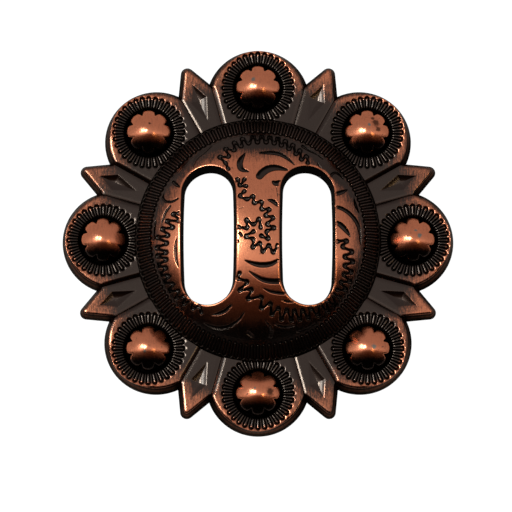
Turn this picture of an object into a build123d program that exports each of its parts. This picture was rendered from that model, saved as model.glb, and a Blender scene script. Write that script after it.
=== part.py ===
from build123d import *
from math import atan2, cos, pi, radians, sin, tan
import os

# A slotted western concho, cast in one piece. Millimetres, back face on the
# XY plane, dome towards +Z, slots long along Y, one petal on each axis.

# Outline
across = 38.0  # over two opposite petals
petal_count = 8
petal_radius = 5.05
leaf_setback = 0.35  # leaf points fall short of the petals' reach by this
leaf_point_angle = 56.0
leaf_point_radius = 0.28  # at the leaf's face
leaf_foot_width = 2.2  # leaf's width where it meets the dome's foot

# Flange
petal_height = 1.75  # petal faces above the back
leaf_drop = 0.22  # leaf faces below the petal faces
rim_draft = 14.0
groove_width = 0.26  # between a petal and a leaf, at the petal's face

# Boss and reeded ring on each petal
boss_inset = 4.0  # boss axis, in from the petal's outer reach
boss_radius = 2.1
boss_height = 1.6
boss_lobes = 8
lobe_radius = 0.62
moat_gap = 0.16  # bare ring round the boss
moat_depth = 0.75
reed_count = 32
reed_length = 1.22
reed_depth = 0.35
reed_share = 0.6  # flute's part of the pitch

# Kite cut in each leaf
kite_tip_setback = 2.15  # behind the leaf's point
kite_outer_length = 1.5
kite_inner_length = 2.5
kite_width = 1.7
kite_depth = 0.55

# Dome and its fluted foot
dome_radius = 10.45  # where the dome meets the fluted band
dome_height = 7.4
foot_radius = 11.95
band_height = 1.25  # fluted band's rise above the petal faces
flute_count = 120
flute_depth = 0.25
rib_width = 0.25
wall = 2.3

# Slots, measured at the height of the dome's crown
slot_length = 14.1
slot_width = 5.6
bar_width = 4.15
slot_draft = 6.0
slot_lip = 0.3

# Engraving on the dome
cut_depth = 0.2
wriggle_width = 0.2
wriggle_swing = 0.28  # to each side of its middle line
wriggle_pitch = 0.82

# Crescent cuts in plan, in shares of the dome's radius. Each runs between two
# points, with its two edges bowed to the right of the way from first to second.
#   x0, y0, x1, y1, outer bow, inner bow
crescents = [
    (0.32, 0.66, 0.01, 0.77, 0.09, 0.06),
    (0.28, 0.59, 0.00, 0.54, 0.12, 0.05),
    (0.22, 0.49, 0.13, 0.49, 0.00, -0.06),
    (0.18, 0.24, 0.09, 0.29, 0.02, -0.03),
    (-0.11, 0.78, -0.09, 0.57, 0.09, 0.05),
    (-0.41, 0.86, -0.58, 0.67, 0.06, 0.03),
    (-0.77, 0.60, -0.65, 0.75, 0.00, -0.04),
    (-0.88, 0.44, -0.77, 0.33, 0.05, 0.02),
    (-0.81, 0.28, -0.91, 0.12, 0.04, 0.01),
    (-0.97, 0.17, -0.95, -0.03, 0.03, 0.00),
    (-0.75, -0.05, -0.74, -0.30, 0.03, 0.00),
    (-0.45, -0.72, -0.25, -0.69, 0.04, 0.00),
    (-0.54, -0.79, -0.13, -0.75, 0.11, 0.08),
    (0.17, -0.82, 0.32, -0.85, 0.02, 0.00),
    (0.36, -0.88, 0.53, -0.81, 0.03, 0.00),
    (0.07, -0.80, 0.12, -0.94, -0.01, -0.04),
    (-0.12, -0.27, 0.18, -0.28, 0.09, 0.03),
    (-0.09, -0.37, 0.21, -0.46, 0.06, 0.02),
    (0.05, -0.52, 0.24, -0.57, 0.03, 0.00),
    (0.77, 0.59, 0.68, 0.54, 0.03, 0.00),
    (0.83, 0.45, 0.68, 0.40, 0.02, -0.02),
    (0.89, 0.41, 0.94, 0.24, 0.01, -0.02),
    (0.95, -0.07, 0.68, 0.25, 0.13, 0.10),
    (0.86, 0.01, 0.72, 0.14, 0.04, -0.01),
    (0.61, 0.76, 0.43, 0.86, 0.01, -0.01),
]

# Middle lines of the wriggle cuts in plan, in shares of the dome's radius
wriggles = [
    [(-0.29, 0.63), (-0.32, 0.74), (-0.25, 0.83), (-0.10, 0.90), (0.07, 0.92), (0.22, 0.88)]
    + [(0.36, 0.79), (0.46, 0.68)],
    [(-0.19, 0.49), (-0.14, 0.38), (-0.04, 0.30), (0.06, 0.21), (0.11, 0.10), (0.09, -0.01), (0.03, -0.05)],
    [(-0.20, 0.04), (-0.12, 0.07), (-0.04, 0.08), (0.02, 0.03)],
    [(-0.04, 0.00), (-0.08, -0.05), (-0.04, -0.12), (0.05, -0.16), (0.18, -0.14)],
    [(-0.17, -0.40), (-0.13, -0.52), (0.00, -0.64), (0.17, -0.72), (0.36, -0.74), (0.54, -0.70)]
    + [(0.70, -0.59)],
    [(0.70, -0.59), (0.79, -0.45), (0.82, -0.30), (0.81, -0.15), (0.74, -0.06)],
    [(-0.76, 0.21), (-0.82, 0.12), (-0.87, 0.00), (-0.89, -0.16), (-0.87, -0.32), (-0.80, -0.48)]
    + [(-0.67, -0.61)],
]

# Cutters run past a surface by the first, and ribs and roots sink in by the second
past = 1.0
sink = 0.25

petal_centre = across / 2 - petal_radius
boss_centre = across / 2 - boss_inset
leaf_reach = across / 2 - leaf_setback
leaf_height = petal_height - leaf_drop
moat_radius = boss_radius + moat_gap
reed_radius = moat_radius + reed_length
band_top = petal_height + band_height
crown_rise = dome_height - band_top
dome_sphere = (dome_radius**2 + crown_rise**2) / (2 * crown_rise)
dome_centre = dome_height - dome_sphere
petal_step = 360.0 / petal_count
half_point = radians(leaf_point_angle / 2)
leaf_lean = leaf_height * tan(radians(rim_draft))
leaf_apex = leaf_reach + (leaf_point_radius + leaf_lean) * (1 / sin(half_point) - 1)
root = dome_radius + sink  # petals and leaves start here, inside the dome's foot
UP = (Align.CENTER, Align.CENTER, Align.MIN)


def polar(radius, angle):
    """A point of the plane from its radius and its angle in radians."""
    return (radius * cos(angle), radius * sin(angle))


def around(part, count):
    """Copies of a part, evenly turned about the concho's axis."""
    return [Rot(0, 0, k * 360.0 / count) * part for k in range(count)]


def valley():
    """Where a leaf's slanted side meets the petal's circle, along and across the leaf."""
    turn = radians(petal_step / 2)
    along, over = petal_centre * cos(turn), petal_centre * sin(turn)
    # The side is the line from the leaf's apex, back at half the point's angle
    reach = (leaf_apex - along) * cos(half_point) + over * sin(half_point)
    offset = (leaf_apex - along) * sin(half_point) - over * cos(half_point)
    run = reach - (petal_radius**2 - offset**2) ** 0.5
    return (leaf_apex - run * cos(half_point), run * sin(half_point))


def groove_line():
    """The two ends of a groove's middle line, along and across the leaf."""
    return (foot_radius, leaf_foot_width / 2), valley()


def drafted(outline, height):
    """A prism up to a height, whose walls lean in from a wider base."""
    spread = height * tan(radians(rim_draft))
    base = offset(outline, amount=spread, kind=Kind.INTERSECTION)
    return extrude(base, amount=height, taper=rim_draft, dir=(0, 0, 1))


def petal_blank():
    """A round petal, cut off on both sides by the grooves beside its leaves."""
    lean = petal_height * tan(radians(rim_draft))
    disc = Pos(petal_centre, 0, 0) * Cone(petal_radius, petal_radius - lean, petal_height, align=UP)
    (x0, y0), (x1, y1) = groove_line()
    turn = radians(petal_step / 2)
    side = atan2(y1 - y0, x1 - x0)
    # The groove's own side line, turned from the leaf's axis to the petal's
    x = x0 - groove_width / 2 * sin(side)
    y = y0 + groove_width / 2 * cos(side)
    start = (x * cos(turn) + y * sin(turn), x * sin(turn) - y * cos(turn))
    slope = tan(turn - side)
    corners = [(reach, start[1] + slope * (reach - start[0])) for reach in (root, across / 2 + past)]
    (xa, ya), (xb, yb) = corners
    wedge = Polygon((xa, -ya), (xb, -yb), (xb, yb), (xa, ya), align=None)
    return disc & drafted(wedge, petal_height)


def reed_cutter():
    """A disc with radial fingers, whose rounded ends are the flutes' outer ends."""
    pitch = 2 * pi / reed_count
    half = reed_share * pitch / 2
    shoulder = reed_radius - reed_radius * sin(half)
    edges = []
    for k in range(reed_count):
        a = k * pitch
        edges += [
            Line(polar(boss_radius, a - half), polar(shoulder, a - half)),
            ThreePointArc(polar(shoulder, a - half), polar(reed_radius, a), polar(shoulder, a + half)),
            Line(polar(shoulder, a + half), polar(boss_radius, a + half)),
            ThreePointArc(*[polar(boss_radius, a + turn) for turn in (half, pitch / 2, pitch - half)]),
        ]
    star = make_face(Wire(edges))
    return Pos(0, 0, petal_height - reed_depth) * extrude(star, amount=reed_depth + past)


def boss():
    """A domed berry with a scalloped skirt, on the Z axis."""
    floor = petal_height - moat_depth - sink
    rise = moat_depth + sink + boss_height
    ball = (boss_radius**2 + boss_height**2) / (2 * boss_height)
    berry = Pos(0, 0, petal_height + boss_height - ball) * Sphere(ball)
    lobe_centre = boss_radius - lobe_radius
    half = pi / boss_lobes
    notch = lobe_centre * cos(half) + (lobe_radius**2 - (lobe_centre * sin(half)) ** 2) ** 0.5
    arcs = []
    for k in range(boss_lobes):
        a = 2 * k * half
        arcs.append(ThreePointArc(polar(notch, a - half), polar(boss_radius, a), polar(notch, a + half)))
    return Pos(0, 0, floor) * extrude(make_face(Wire(arcs)), amount=rise) & berry


def petal():
    """One petal with its reeded ring, moat and boss, pointing along X."""
    moat = Pos(0, 0, petal_height - moat_depth) * Cylinder(moat_radius, moat_depth + past, align=UP)
    cut = petal_blank() - Pos(boss_centre, 0, 0) * (reed_cutter() + moat)
    return cut + Pos(boss_centre, 0, 0) * boss()


def kite_cutter():
    """An upside-down pyramid on a kite, deepest where the kite is widest."""
    tip = leaf_reach - kite_tip_setback
    widest = tip - kite_outer_length
    top = leaf_height + past
    spread = (kite_depth + past) / kite_depth
    rim = [
        Vector(widest + kite_outer_length * spread, 0, top),
        Vector(widest, kite_width / 2 * spread, top),
        Vector(widest - kite_inner_length * spread, 0, top),
        Vector(widest, -kite_width / 2 * spread, top),
    ]
    bottom = Vector(widest, 0, leaf_height - kite_depth)
    sides = [Face(Wire.make_polygon([rim[k], rim[(k + 1) % 4], bottom])) for k in range(4)]
    return Solid(Shell(sides + [Face(Wire.make_polygon(rim))]))


def leaf():
    """One pointed leaf with its kite cut, pointing between two petals."""
    (x0, y0), (x1, y1) = groove_line()
    slope = (y1 - y0) / (x1 - x0)
    foot = y0 + slope * (root - x0) - groove_width / 2
    apex = leaf_apex - leaf_lean / sin(half_point)
    # The groove's side meets the slanted side at the leaf's shoulder
    x = (apex * tan(half_point) - foot + slope * root) / (slope + tan(half_point))
    y = (apex - x) * tan(half_point)
    outline = Polygon((root, -foot), (x, -y), (apex, 0), (x, y), (root, foot), align=None)
    point = outline.vertices().sort_by(Axis.X)[-1]
    blank = drafted(fillet(point, leaf_point_radius), leaf_height)
    return Rot(0, 0, petal_step / 2) * (blank - kite_cutter())


def dome():
    """The dome over its foot, solid, with the fluted band's floor below its edge."""
    band_floor = band_top - flute_depth
    foot = petal_height - flute_depth
    lean = dome_radius / 2
    half_way = dome_centre + (dome_sphere**2 - lean**2) ** 0.5
    profile = Wire(
        [
            Line((0, 0, 0), (foot_radius, 0, 0)),
            Line((foot_radius, 0, 0), (foot_radius, 0, foot)),
            Line((foot_radius, 0, foot), (dome_radius, 0, band_floor)),
            Line((dome_radius, 0, band_floor), (dome_radius, 0, band_top)),
            ThreePointArc((dome_radius, 0, band_top), (lean, 0, half_way), (0, 0, dome_height)),
            Line((0, 0, dome_height), (0, 0, 0)),
        ]
    )
    return revolve(make_face(profile), Axis.Z)


def ribs():
    """The upright ribs between the flutes of the band round the dome's foot."""
    inner = dome_radius - sink
    slope = band_height / (foot_radius - dome_radius)
    profile = Wire.make_polygon(
        [
            Vector(foot_radius, 0, petal_height - flute_depth - sink),
            Vector(foot_radius, 0, petal_height),
            Vector(dome_radius, 0, band_top),
            Vector(inner, 0, band_top),
            Vector(inner, 0, band_top - flute_depth - sink * (1 + slope)),
        ]
    )
    rib = extrude(Face(profile), amount=rib_width / 2, dir=(0, 1, 0), both=True)
    return around(rib, flute_count)


def slots():
    """Two drafted slots with round ends, narrower towards the back."""
    depth = dome_height + past
    mouth = SlotOverall(slot_length, slot_width, rotation=90)
    slot = Rot(180, 0, 0) * extrude(mouth, amount=depth, taper=slot_draft)
    spacing = bar_width / 2 + slot_width / 2
    return [Pos(side * spacing, 0, dome_height) * slot for side in (-1, 1)]


def crescent(x0, y0, x1, y1, outer, inner):
    """A crescent in plan between two points, its edges bowed to the right."""
    start, end = (Vector(x, y) * dome_radius for x, y in ((x0, y0), (x1, y1)))
    right = Vector(y1 - y0, x0 - x1).normalized() * dome_radius
    edges = []
    for a, b, bow in ((start, end, outer), (end, start, inner)):
        middle = (start + end) / 2 + right * bow
        edges.append(ThreePointArc(a, middle, b) if bow else Line(a, b))
    return make_face(Wire(edges))


def wriggle(points):
    """A zigzag ribbon in plan, swinging evenly about a smooth middle line."""
    middle = Spline(*[Vector(x, y) * dome_radius for x, y in points])
    turns = round(2 * middle.length / wriggle_pitch)
    corners = []
    for k in range(turns + 1):
        share = k / turns
        sideways = (middle % share).rotate(Axis.Z, 90)
        swing = wriggle_swing if 0 < k < turns else 0
        corners.append(middle @ share + sideways * swing * (-1) ** k)
    left, right = [], []
    for k, corner in enumerate(corners):
        back = (corner - corners[k - 1]).normalized() if k else (corners[1] - corner).normalized()
        ahead = (corners[k + 1] - corner).normalized() if k < turns else back
        normal = (back + ahead).rotate(Axis.Z, 90)
        mitre = normal * (wriggle_width / normal.length**2)
        left.append(corner + mitre)
        right.append(corner - mitre)
    return Face(Wire.make_polygon(left + right[::-1]))


def engraving():
    """Cutters for all the engraved lines, as deep as the cut below the dome's skin."""
    core = Pos(0, 0, dome_centre) * Sphere(dome_sphere - cut_depth)
    plans = [crescent(*row) for row in crescents] + [wriggle(points) for points in wriggles]
    prisms = [extrude(plan, amount=dome_height, dir=(0, 0, 1)) for plan in plans]
    return [Pos(0, 0, petal_height) * prism - core for prism in prisms]


def pierced_dome():
    """The hollow dome with its slots, their rounded lips and the engraving."""
    hollow = Pos(0, 0, dome_centre) * Sphere(dome_sphere - wall)
    shell = dome() - [hollow, *slots()]
    middle = Vector(0, 0, dome_centre)
    lips = [
        edge
        for edge in shell.edges()
        if abs((edge @ 0.5 - middle).length - dome_sphere) < slot_lip / 10
        and (edge @ 0.5).Z > band_top + slot_lip
    ]
    return fillet(lips, slot_lip) - engraving()


def casting():
    """The whole concho as one casting."""
    return pierced_dome() + [*ribs(), *around(petal(), petal_count), *around(leaf(), petal_count)]


os.makedirs("parts", exist_ok=True)
export_step(casting(), "parts/concho_casting.step")
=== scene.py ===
import math

import bpy
import numpy as np
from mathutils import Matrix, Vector


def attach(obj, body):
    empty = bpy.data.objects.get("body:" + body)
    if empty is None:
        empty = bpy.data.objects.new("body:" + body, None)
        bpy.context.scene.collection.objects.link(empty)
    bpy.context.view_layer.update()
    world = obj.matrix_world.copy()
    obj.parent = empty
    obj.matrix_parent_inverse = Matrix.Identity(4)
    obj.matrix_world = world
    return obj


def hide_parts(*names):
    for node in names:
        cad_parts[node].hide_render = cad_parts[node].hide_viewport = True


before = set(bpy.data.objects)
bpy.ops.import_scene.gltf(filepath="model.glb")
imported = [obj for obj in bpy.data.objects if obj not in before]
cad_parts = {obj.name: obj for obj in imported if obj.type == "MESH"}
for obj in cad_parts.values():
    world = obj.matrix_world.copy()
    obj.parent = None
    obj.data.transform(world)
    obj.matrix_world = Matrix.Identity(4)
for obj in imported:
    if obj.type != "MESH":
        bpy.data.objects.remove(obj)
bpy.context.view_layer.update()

# A slotted concho, cast in one piece and finished in antique copper. Lengths
# are in millimetres, made metres when a mesh is filled.
MM = 0.001

# Flange: round petals, with a pointed leaf halfway between each two
petal_count = 8
petal_angle = 360.0 / petal_count
half_step = math.radians(petal_angle / 2)  # from a petal to the leaf beside it
reach = 19.0
petal_radius = 5.05
petal_height = 1.75
leaf_height = 1.53
rim_draft = math.radians(14.0)
groove_width = 0.26
leaf_reach = 18.65
leaf_point = math.radians(28.0)
leaf_point_radius = 0.28
leaf_foot_width = 2.2
root = 11.25  # petals and leaves run in under the band to here

# Boss, moat and reeded ring
boss_centre = 15.0
boss_radius = 2.1
boss_height = 1.6
boss_crown = 1.2  # how wide the crown is round
boss_slope = 0.98  # how steep the cap is farther down
boss_lobes = 8
cap_rings = 12
lobe_swell = 0.05
notch_depth = 0.36
notch_spread = 0.09  # in radians
boss_shade_fade = (0.6, 1.4)  # on its near side rubbing fades at these distances, as painted shade
moat_radius = 2.26
moat_floor = 1.0
moat_side = (2.24, 2.34)  # its outer side rises between these radii
moat_shade = (2.26, 2.44)  # and its black fades out between these
reed_count = 32
reed_radius = 3.48  # where the reeds end
reed_share = 0.56
reed_fall = 0.10  # how far the reeds sink towards the moat,
reed_sink = (2.25, 2.6)  # between these radii
reed_bare = (3.0, 3.55)  # and between these rubbing sets in
face_radius = 3.64  # the petal's flat face begins here

# Kite cut in a leaf
kite_middle = 15.0
kite_outer = 1.7
kite_inner = 2.2
kite_half = 0.8
kite_depth = 0.30
kite_scoop = 1.6  # 1 makes flat facets, and more hollows them
kite_rays = 40  # between two of its corners
leaf_back = 0.01  # a leaf's back lies so much higher than the petals'

# Dome, band and slots
dome_radius = 10.45
dome_height = 7.4
foot_radius = 11.95
band_top = 3.0
flute_count = 120
flute_share = 0.54
wall = 2.3  # how thick the dome's skin is
slot_middle = 4.875
slot_half = 2.8
slot_straight = 4.25  # half the straight part of a slot's side
slot_draft = math.radians(6.0)
slot_lip = 0.24  # how far its rounded edge reaches
seam_radius = 10.1  # the dome ends here, and the band's piece takes over

crown_rise = dome_height - band_top
sphere = (dome_radius**2 + crown_rise**2) / (2 * crown_rise)
sphere_centre = dome_height - sphere
hollow_radius = math.sqrt((sphere - wall) ** 2 - sphere_centre**2)
petal_middle = reach - petal_radius
rim_lean = petal_height * math.tan(rim_draft)
leaf_lean = leaf_height * math.tan(rim_draft)
leaf_apex = leaf_reach + (leaf_point_radius + leaf_lean) * (1 / math.sin(leaf_point) - 1)

# Engraving, in shares of the dome's radius. A cut: the middle line's points,
# the half widths at its start, middle and end, and the share of the full depth.
cuts = [
    ([(0.02, 0.767), (0.12, 0.770), (0.20, 0.758), (0.27, 0.717), (0.335, 0.655)],
     (0.010, 0.022, 0.006), 1.0),
    ([(0.015, 0.530), (0.045, 0.567), (0.10, 0.603), (0.17, 0.616), (0.24, 0.604), (0.285, 0.592)],
     (0.036, 0.034, 0.008), 1.0),
    ([(-0.12, 0.765), (-0.157, 0.70), (-0.168, 0.65), (-0.15, 0.60), (-0.085, 0.573)],
     (0.006, 0.030, 0.006), 1.0),
    ([(0.205, 0.470), (0.165, 0.458), (0.14, 0.472)], (0.022, 0.028, 0.014), 1.0),
    ([(0.17, 0.42), (0.182, 0.33)], (0.004, 0.004, 0.004), 0.8),
    ([(0.09, 0.297), (0.145, 0.277), (0.185, 0.235)], (0.004, 0.022, 0.008), 1.0),
    ([(-0.17, 0.215), (-0.135, 0.225)], (0.004, 0.004, 0.004), 0.6),
    ([(-0.165, -0.02), (-0.15, -0.04)], (0.014, 0.014, 0.014), 1.0),
    ([(-0.18, -0.09), (-0.18, -0.10)], (0.010, 0.010, 0.010), 1.0),
    ([(0.67, 0.54), (0.685, 0.585), (0.72, 0.605), (0.76, 0.585), (0.79, 0.555)],
     (0.012, 0.013, 0.008), 1.0),
    ([(0.69, 0.380), (0.76, 0.405), (0.83, 0.445)], (0.012, 0.022, 0.004), 1.0),
    ([(0.90, 0.38), (0.91, 0.31), (0.945, 0.23)], (0.008, 0.023, 0.008), 1.0),
    ([(0.69, 0.25), (0.745, 0.258), (0.80, 0.24), (0.86, 0.20), (0.91, 0.14), (0.94, 0.06), (0.95, -0.06)],
     (0.016, 0.021, 0.008), 1.0),
    ([(0.715, 0.112), (0.76, 0.095), (0.81, 0.05), (0.85, -0.005)], (0.018, 0.027, 0.006), 1.0),
    ([(0.42, 0.855), (0.48, 0.81), (0.55, 0.775), (0.60, 0.735)], (0.020, 0.009, 0.006), 1.0),
    ([(0.55, 0.69), (0.575, 0.645), (0.61, 0.60)], (0.005, 0.012, 0.006), 0.8),
    ([(-0.12, -0.27), (-0.04, -0.30), (0.04, -0.313), (0.12, -0.302), (0.185, -0.268)],
     (0.004, 0.023, 0.012), 1.0),
    ([(-0.08, -0.37), (-0.02, -0.41), (0.05, -0.445), (0.13, -0.457), (0.205, -0.455)],
     (0.004, 0.021, 0.024), 1.0),
    ([(0.05, -0.52), (0.11, -0.545), (0.18, -0.557), (0.25, -0.562)], (0.004, 0.015, 0.012), 1.0),
    ([(0.22, -0.62), (0.27, -0.63), (0.32, -0.635)], (0.004, 0.011, 0.004), 1.0),
    ([(0.16, -0.828), (0.22, -0.843), (0.28, -0.843), (0.33, -0.832)], (0.006, 0.012, 0.006), 1.0),
    ([(0.36, -0.885), (0.43, -0.868), (0.49, -0.842), (0.525, -0.815)], (0.005, 0.010, 0.012), 1.0),
    ([(0.07, -0.80), (0.11, -0.84), (0.128, -0.88), (0.12, -0.93)], (0.006, 0.014, 0.014), 1.0),
    ([(-0.50, -0.800), (-0.42, -0.838), (-0.34, -0.852), (-0.26, -0.838), (-0.18, -0.79), (-0.13, -0.73)],
     (0.004, 0.018, 0.008), 1.0),
    ([(-0.43, -0.740), (-0.36, -0.728), (-0.30, -0.705), (-0.25, -0.665)],
     (0.004, 0.019, 0.012), 1.0),
    ([(-0.75, -0.02), (-0.762, -0.12), (-0.755, -0.22), (-0.735, -0.30)],
     (0.003, 0.016, 0.004), 0.8),
    ([(-0.77, 0.62), (-0.72, 0.67), (-0.67, 0.715), (-0.64, 0.74)], (0.004, 0.019, 0.006), 1.0),
    ([(-0.785, 0.52), (-0.755, 0.485), (-0.725, 0.46)], (0.014, 0.018, 0.008), 1.0),
    ([(-0.88, 0.43), (-0.88, 0.37), (-0.85, 0.33), (-0.79, 0.322), (-0.74, 0.345)],
     (0.010, 0.014, 0.010), 1.0),
    ([(-0.81, 0.28), (-0.85, 0.23), (-0.875, 0.17), (-0.885, 0.13)], (0.010, 0.014, 0.005), 0.8),
    ([(-0.945, 0.16), (-0.962, 0.06), (-0.962, -0.02)], (0.005, 0.012, 0.005), 1.0),
    ([(-0.60, 0.66), (-0.57, 0.74), (-0.50, 0.80), (-0.43, 0.86)], (0.010, 0.020, 0.008), 0.35),
    ([(-0.44, 0.68), (-0.42, 0.73), (-0.40, 0.77)], (0.004, 0.010, 0.004), 0.35),
    ([(-0.29, -0.93), (-0.20, -0.955), (-0.13, -0.96)], (0.005, 0.008, 0.005), 1.0),
    ([(-0.09, -0.90), (-0.05, -0.93)], (0.018, 0.016, 0.014), 0.8),
]
cut_depth = 0.15
hair = 0.003  # the least half width of a cut

# A wriggle line runs from turn to turn
wriggles = [
    [(-0.225, 0.478), (-0.187, 0.498), (-0.165, 0.437), (-0.125, 0.497)],
    [(-0.165, 0.437), (-0.110, 0.430)],
    [(-0.125, 0.380), (-0.165, 0.335), (-0.10, 0.302), (-0.045, 0.330), (-0.035, 0.265),
     (0.032, 0.275), (0.035, 0.205), (0.105, 0.205), (0.07, 0.145), (0.14, 0.125), (0.085, 0.062),
     (0.15, 0.03), (0.08, -0.005), (0.095, -0.072), (0.03, -0.045)],
    [(-0.185, 0.04), (-0.10, 0.03), (-0.105, 0.105), (-0.04, 0.062), (0.01, 0.112),
     (0.025, 0.032)],
    [(-0.04, -0.005), (-0.11, -0.052), (-0.042, -0.08), (-0.048, -0.152), (0.018, -0.115),
     (0.045, -0.19), (0.10, -0.135), (0.14, -0.195), (0.18, -0.133)],
    [(-0.17, -0.385), (-0.185, -0.43), (-0.10, -0.465), (-0.17, -0.535), (-0.06, -0.53),
     (-0.09, -0.61), (0.03, -0.595), (0.03, -0.69), (0.115, -0.65), (0.125, -0.745), (0.19, -0.69),
     (0.215, -0.785), (0.265, -0.70), (0.305, -0.79), (0.335, -0.705), (0.385, -0.78),
     (0.41, -0.70), (0.465, -0.765), (0.485, -0.68), (0.555, -0.735), (0.565, -0.635),
     (0.64, -0.695), (0.635, -0.60), (0.715, -0.64), (0.69, -0.545), (0.75, -0.56)],
    [(0.73, -0.50), (0.81, -0.49), (0.765, -0.43), (0.85, -0.415), (0.79, -0.36), (0.865, -0.33),
     (0.80, -0.28), (0.88, -0.235), (0.80, -0.20), (0.87, -0.145), (0.78, -0.11), (0.82, -0.05),
     (0.73, -0.065)],
    [(-0.725, 0.20), (-0.785, 0.20), (-0.725, 0.13), (-0.84, 0.14), (-0.785, 0.07), (-0.885, 0.07),
     (-0.83, 0.0), (-0.93, -0.005), (-0.84, -0.07), (-0.935, -0.10), (-0.845, -0.155),
     (-0.93, -0.175), (-0.845, -0.22), (-0.925, -0.26), (-0.85, -0.295), (-0.905, -0.345),
     (-0.825, -0.37), (-0.865, -0.42), (-0.785, -0.445), (-0.82, -0.50), (-0.735, -0.51),
     (-0.75, -0.57), (-0.675, -0.56), (-0.68, -0.625), (-0.61, -0.60), (-0.60, -0.67),
     (-0.54, -0.66), (-0.52, -0.71)],
    [(-0.275, 0.605), (-0.30, 0.67), (-0.355, 0.735), (-0.27, 0.735), (-0.30, 0.82), (-0.22, 0.80),
     (-0.22, 0.885), (-0.155, 0.84), (-0.145, 0.925), (-0.085, 0.87), (-0.045, 0.95),
     (-0.005, 0.88), (0.035, 0.95), (0.075, 0.88), (0.11, 0.945), (0.15, 0.87), (0.185, 0.935),
     (0.215, 0.85), (0.255, 0.905), (0.285, 0.815), (0.325, 0.865), (0.35, 0.765), (0.39, 0.81),
     (0.40, 0.71), (0.45, 0.75), (0.46, 0.675)],
]
wriggle_half = 0.12
wriggle_swell = 0.11  # how much wider it is at its turns, to each side
wriggle_depth = 0.16
wriggle_bed = 0.03  # how much deeper still along its middle
engraving_margin = 0.3  # the engraving changes nothing farther than this from its edge

merge_steps = 1e7  # to the metre: points that round to the same step become one
tiny, far_off = 1e-9, 1e3


def ease(low, high, value):
    """Smooth step: 0 at low, 1 at high, and 3t^2 - 2t^3 in between. It falls
    where low is more than high."""
    t = np.clip((value - low) / (high - low), 0, 1)
    return t * t * (3 - 2 * t)


def hump(gap, width):
    """A bell: 1 where the gap is 0, and falling to 1/e at the width."""
    return np.exp(-((gap / width) ** 2))


def rubbed_until(low, high, value):
    """Rubbing that is full up to low and gone from high on, by the smooth step
    between, with a little to spare at both ends."""
    return 1.1 - 1.15 * ease(low, high, value)


def dome_skin(x, y, under=0.0):
    """Height over a point of the plan of the dome's sphere, or of one so far
    under it."""
    return sphere_centre + np.sqrt((sphere - under) ** 2 - x * x - y * y)


def way_to_line(direction, normal, offset):
    """Way from the origin along each direction to the line normal . p = offset,
    or far off if it looks away."""
    facing = direction @ np.array(normal)
    return np.where(facing > tiny, offset / np.maximum(facing, tiny), far_off)


def way_to_sides(direction, normal, offset):
    """Way to the nearer of a line and its mirror image across the X axis."""
    mirrored = (normal[0], -normal[1])
    return np.minimum(way_to_line(direction, normal, offset), way_to_line(direction, mirrored, offset))


def way_to_circle(direction, middle, radius, start=(0.0, 0.0)):
    """Way along each direction from inside a circle to its far side: the root
    of |start + t d - middle| = radius."""
    way = np.asarray(start, float) - np.asarray(middle, float)
    along = np.sum(direction * way, axis=-1)
    gap = np.sum(way * way, axis=-1) - radius**2
    return -along + np.sqrt(np.maximum(along**2 - gap, 0))


class Skin:
    """The skin of one piece, gathered ring by ring. The place function gives
    where a ring's points lie in plan, from how far out they are."""

    def __init__(self, place):
        self.place = place
        self.rings, self.rubbed, self.recess_and_shade = [], [], []

    def ring(self, way, z, rub, dark):
        """One more closed ring of points, with how far the copper is bared, by
        rubbing and in places as painted reflection and shade, and how dark it is, from
        patina in its hollows and from painted shade: each one number, or one a point."""
        self.rings.append(np.stack(np.broadcast_arrays(*self.place(way), z), -1))
        self.rubbed.append(rub)
        self.recess_and_shade.append(dark)

    def piece(self, name, sharp, turn=0.0, around=False, flip=False):
        """The rings joined by quads, each cut into two triangles, and the last
        ring joined to the first if they go around. Points that coincide become
        one, which closes poles and seams. Edges sharper than so many degrees
        stay sharp."""
        x, y, z = np.moveaxis(np.stack(self.rings), -1, 0)
        c, s = math.cos(turn), math.sin(turn)
        points = np.stack([x * c - y * s, x * s + y * c, z], -1).reshape(-1, 3) * MM
        grid = np.arange(x.size).reshape(x.shape)
        a = grid if around else grid[:-1]
        b = np.roll(grid, -1, axis=0) if around else grid[1:]
        quads = np.stack([a, b, np.roll(b, -1, axis=1), np.roll(a, -1, axis=1)], -1).reshape(-1, 4)
        triangles = np.concatenate([quads[:, [0, 1, 2]], quads[:, [0, 2, 3]]])
        keys = np.round(points * merge_steps).astype(np.int64)
        _, first, merged = np.unique(keys, axis=0, return_index=True, return_inverse=True)
        triangles = merged.reshape(-1)[triangles]
        a, b, c = triangles.T
        triangles = triangles[(a != b) & (b != c) & (c != a)]
        if flip:
            triangles = triangles[:, ::-1]
        mesh = bpy.data.meshes.new(name)
        mesh.vertices.add(len(first))
        mesh.vertices.foreach_set("co", points[first].astype(np.float32).ravel())
        mesh.loops.add(triangles.size)
        mesh.loops.foreach_set("vertex_index", triangles.astype(np.int32).ravel())
        mesh.polygons.add(len(triangles))
        mesh.polygons.foreach_set("loop_start", np.arange(0, triangles.size, 3, dtype=np.int32))
        mesh.update(calc_edges=True)
        for label, masks in (("rubbed", self.rubbed), ("recess_and_shade", self.recess_and_shade)):
            values = np.stack([np.broadcast_to(mask, x.shape[1:]) for mask in masks])
            values = np.clip(values.reshape(-1)[first], 0, 1).astype(np.float32)
            mesh.attributes.new(label, "FLOAT", "POINT").data.foreach_set("value", values)
        mesh.shade_smooth()
        mesh.set_sharp_from_angle(angle=math.radians(sharp))
        piece = bpy.data.objects.new(name, mesh)
        bpy.context.scene.collection.objects.link(piece)
        mesh.materials.append(antique_copper)
        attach(piece, "root")
        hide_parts("concho_casting")
        return piece


# Engraving


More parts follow.
